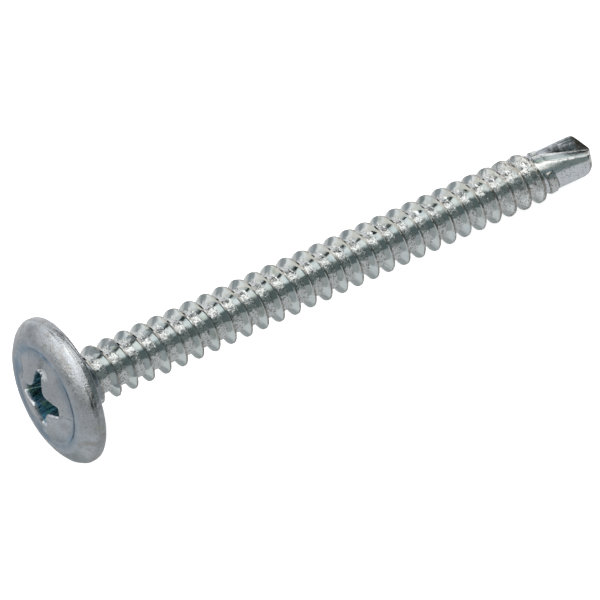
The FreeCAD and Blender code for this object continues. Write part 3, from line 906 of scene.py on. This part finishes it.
class SCREW_OT_thread(bpy.types.Operator):
    """Build the threaded shank: the rolled root and the wound ridge"""
    bl_idname = "screw.thread"
    bl_label = "Threaded shank"

    def execute(self, context):
        sizes = in_millimetres(context.scene.screw_thread)
        plating = rolled_plating(context.scene.screw_plating)
        for name, (grid, marks) in {"screw_thread": ridge_grid(sizes), "screw_core": core_grid(sizes)}.items():
            make_piece(name, grid, plating, 38.0, marks)
        return {"FINISHED"}


class SCREW_OT_drill(bpy.types.Operator):
    """Build the drill point with its two pinched flutes"""
    bl_idname = "screw.drill"
    bl_label = "Drill point"

    def execute(self, context):
        thread = in_millimetres(context.scene.screw_thread)
        sizes = in_millimetres(context.scene.screw_drill)
        sizes.thread_pitch = thread.pitch
        sizes.thread_end = thread.start + thread.pitch * LAST_FULL_TURN / 360
        grid, marks = drill_grid(sizes)
        make_piece("screw_drill_point", grid, pinched_plating(context.scene.screw_plating), 30.0, marks)
        return {"FINISHED"}


# The camera as fitted to the photograph: its focal length in widths of the picture, the degrees
# that it looks down, and its level way ahead as x and y. A point on the axis in the head lies so
# far from the bearing face, and at this place from the camera: right, down and ahead.
FOCAL_SHARE = 3892.0 / 600.0
SENSOR = 36.0
LOOKING_DOWN = 47.73
WAY_AHEAD = (0.5775, 0.8164)
POINT_IN_HEAD = -1.5516
HEAD_IN_VIEW = (-17.822, 6.79, 272.812)


def add_camera(scene):
    """The photograph's camera: level, looking down on the screw from beyond its head."""
    base, _, _, along = screw_axes()
    low, high = math.cos(math.radians(LOOKING_DOWN)), math.sin(math.radians(LOOKING_DOWN))
    right = Vector((WAY_AHEAD[1], -WAY_AHEAD[0], 0.0))
    up = Vector((WAY_AHEAD[0] * high, WAY_AHEAD[1] * high, low))
    ahead = Vector((WAY_AHEAD[0] * low, WAY_AHEAD[1] * low, -high))
    head = Vector(base + MM * POINT_IN_HEAD * along)
    x, y, z = (MM * value for value in HEAD_IN_VIEW)
    place = head - (x * right - y * up + z * ahead)
    data = bpy.data.cameras.new("view")
    data.sensor_width = SENSOR
    data.lens = FOCAL_SHARE * SENSOR
    data.clip_start = 0.01
    camera = bpy.data.objects.new("view", data)
    rotation = Matrix((right, up, -ahead)).transposed().to_4x4()
    camera.matrix_world = Matrix.Translation(place) @ rotation
    scene.collection.objects.link(camera)
    scene.camera = camera


# What the plating mirrors, as directions: x along the screw to its point, y to the back and z up.
# Each card has a colour and a strength, and its edges are the values where it starts and is whole.
# A later card lies over the ones before it.
CARDS = (
    ("sheet at the back", "#FFFFFF", 0.9, {"Y": (0.35, 0.55), "Z": (0.64, 0.54)}),
    ("tent on the left", "#FFFCF2", 0.75, {"Z": (0.06, 0.15), "X": (-0.5, -0.8)}),
    ("table", "#C9CACA", 0.88, {"Z": (0.02, -0.08)}),
    ("dark edge of the table", "#A9B0B4", 0.8, {"Z": (-0.02, -0.1), "Y": (0.74, 0.82), "X": (-0.2, -0.35)}),
    ("table below the edge", "#FFFFFF", 0.6, {"Z": (-0.26, -0.4), "Y": (0.7, 0.8), "X": (-0.1, -0.3)}),
    ("table on the left", "#F6FAFB", 0.7, {"Z": (-0.55, -0.7), "X": (-0.3, -0.5)}),
    ("table under the screw", "#B4BABB", 0.75, {"Z": (-0.81, -0.89), "Y": (0.1, 0.28)}),
    ("low card on the right", "#FFFFFF", 0.9, {"Z": (-0.65, -0.5), "X": (-0.25, -0.1), "Y": (0.6, 0.8)}),
    ("tent higher up", "#FFFFFF", 1.6, {"Z": (0.3, 0.4), "X": (-0.32, -0.46), "Y": (-0.5, -0.3)}),
    ("tent overhead", "#FFFEFB", 1.3, {"Z": (0.58, 0.7), "Y": (0.52, 0.36)}),
    ("dim room in front", "#6D7877", 1.0, {"Z": (0.1, 0.25), "X": (-0.1, 0.2), "Y": (-0.02, -0.42)}),
    ("low card in front", "#C9CACA", 0.88, {"Z": (0.24, 0.08), "X": (0.0, 0.3), "Y": (-0.5, -0.7)}),
)
DARK_GAP = "#1E2A28"


def add_world(scene):
    """The studio all round: white to the camera, and cards with dark gaps to the plating."""
    world = bpy.data.worlds.new("studio")
    scene.world = world
    world.use_nodes = True
    tree = world.node_tree
    tree.nodes.clear()
    way = add_node(tree, "ShaderNodeTexCoord").outputs["Generated"]
    split = add_node(tree, "ShaderNodeSeparateXYZ", links={"Vector": way})
    seen = linear(DARK_GAP)
    for _, colour, strength, edges in CARDS:
        share = None
        for axis, (start, whole) in edges.items():
            part = add_node(tree, "ShaderNodeMapRange", {"interpolation_type": "SMOOTHSTEP"},
                            {"From Min": start, "From Max": whole},
                            {"Value": split.outputs[axis]}).outputs["Result"]
            if share:
                part = add_node(tree, "ShaderNodeMath", {"operation": "MULTIPLY"},
                                links={0: share, 1: part}).outputs[0]
            share = part
        light = (*(strength * value for value in linear(colour)[:3]), 1.0)
        seen = add_node(tree, "ShaderNodeMix", {"data_type": "RGBA"}, {OVER: light},
                        {SHARE: share, UNDER: seen}).outputs[MIXED]
    ray = add_node(tree, "ShaderNodeLightPath").outputs["Is Camera Ray"]
    seen = add_node(tree, "ShaderNodeMix", {"data_type": "RGBA"}, {OVER: (1.0, 1.0, 1.0, 1.0)},
                    {SHARE: ray, UNDER: seen}).outputs[MIXED]
    back = add_node(tree, "ShaderNodeBackground", inputs={"Strength": 1.0}, links={"Color": seen})
    add_node(tree, "ShaderNodeOutputWorld", links={"Surface": back.outputs["Background"]})


# The glow that lifts the floor's white to the camera, and half its width in metres.
FLOOR_GLOW = 0.75
FLOOR_HALF = 1.2


def add_floor(scene, look):
    """A plain pale floor, near white to the camera, that still takes the soft shadow.

    The plating doesn't mirror it, because the world's table stands for it there.
    """
    material = new_material("studio floor")
    tree = material.node_tree
    path = add_node(tree, "ShaderNodeLightPath")
    shown = add_node(tree, "ShaderNodeMath", {"operation": "MULTIPLY"}, {1: FLOOR_GLOW},
                     {0: path.outputs["Is Camera Ray"]})
    shader = add_node(tree, "ShaderNodeBsdfPrincipled",
                      inputs={"Base Color": look.floor, "Roughness": 0.9, "Specular IOR Level": 0.0,
                              "Emission Color": (1.0, 1.0, 1.0, 1.0)},
                      links={"Emission Strength": shown.outputs["Value"]})
    add_node(tree, "ShaderNodeOutputMaterial", links={"Surface": shader.outputs["BSDF"]})
    mesh = bpy.data.meshes.new("floor")
    corners = [(FLOOR_HALF * x, FLOOR_HALF * y, 0) for x, y in ((-1, -1), (1, -1), (1, 1), (-1, 1))]
    mesh.from_pydata(corners, [], [(0, 1, 2, 3)])
    mesh.materials.append(material)
    floor = bpy.data.objects.new("floor", mesh)
    floor.visible_glossy = False
    scene.collection.objects.link(floor)


def add_softbox(scene, name, place, aim, size, power, colour):
    """A soft rectangular lamp at a place, turned to its aim."""
    data = bpy.data.lights.new(name, "AREA")
    data.shape = "RECTANGLE"
    data.size, data.size_y = size
    data.energy = power
    data.color = linear(colour)[:3]
    lamp = bpy.data.objects.new(name, data)
    way = Vector(aim) - Vector(place)
    lamp.matrix_world = Matrix.Translation(place) @ way.to_track_quat("-Z", "Y").to_matrix().to_4x4()
    scene.collection.objects.link(lamp)


class SCREW_OT_stage(bpy.types.Operator):
    """Set the floor, the lights and the camera"""
    bl_idname = "screw.stage"
    bl_label = "Stage"

    def execute(self, context):
        scene = context.scene
        look = scene.screw_stage
        scene.view_settings.view_transform = "Standard"
        add_world(scene)
        add_floor(scene, look)
        add_softbox(scene, "tent light", (-0.15, 0.1, 0.5), (0, 0, 0), (0.3, 0.3),
                    look.tent_light, "#FFFDF9")
        add_camera(scene)
        return {"FINISHED"}


class SCREW_PT_panel(bpy.types.Panel):
    """The screw's sizes and the buttons that build it"""
    bl_label = "Self-drilling screw"
    bl_idname = "SCREW_PT_panel"
    bl_space_type = "VIEW_3D"
    bl_region_type = "UI"
    bl_category = "Screw"

    def draw(self, context):
        for group in GROUPS:
            box = self.layout.box()
            settings = getattr(context.scene, group)
            for prop in settings.bl_rna.properties:
                if prop.identifier not in {"rna_type", "name"}:
                    box.prop(settings, prop.identifier)
        for operator in OPERATORS:
            self.layout.operator(operator.bl_idname)


GROUPS = {
    "screw_head": HeadSizes, "screw_thread": ThreadSizes, "screw_drill": DrillSizes,
    "screw_plating": PlatingLook, "screw_stage": StageLook}
OPERATORS = (SCREW_OT_head, SCREW_OT_thread, SCREW_OT_drill, SCREW_OT_stage)


def register():
    """Make the settings, the buttons and the panel known, and hang the settings on the scene."""
    for item in (*GROUPS.values(), *OPERATORS, SCREW_PT_panel):
        bpy.utils.register_class(item)
    for label, group in GROUPS.items():
        setattr(bpy.types.Scene, label, bpy.props.PointerProperty(type=group))


def unregister():
    """Take the settings, the buttons and the panel away again."""
    for label in GROUPS:
        delattr(bpy.types.Scene, label)
    for item in (SCREW_PT_panel, *OPERATORS[::-1], *list(GROUPS.values())[::-1]):
        bpy.utils.unregister_class(item)


def main():
    """Build the screw and its stage."""
    register()
    bpy.ops.screw.head()
    bpy.ops.screw.thread()
    bpy.ops.screw.drill()
    bpy.ops.screw.stage()


if __name__ == "__main__":
    main()
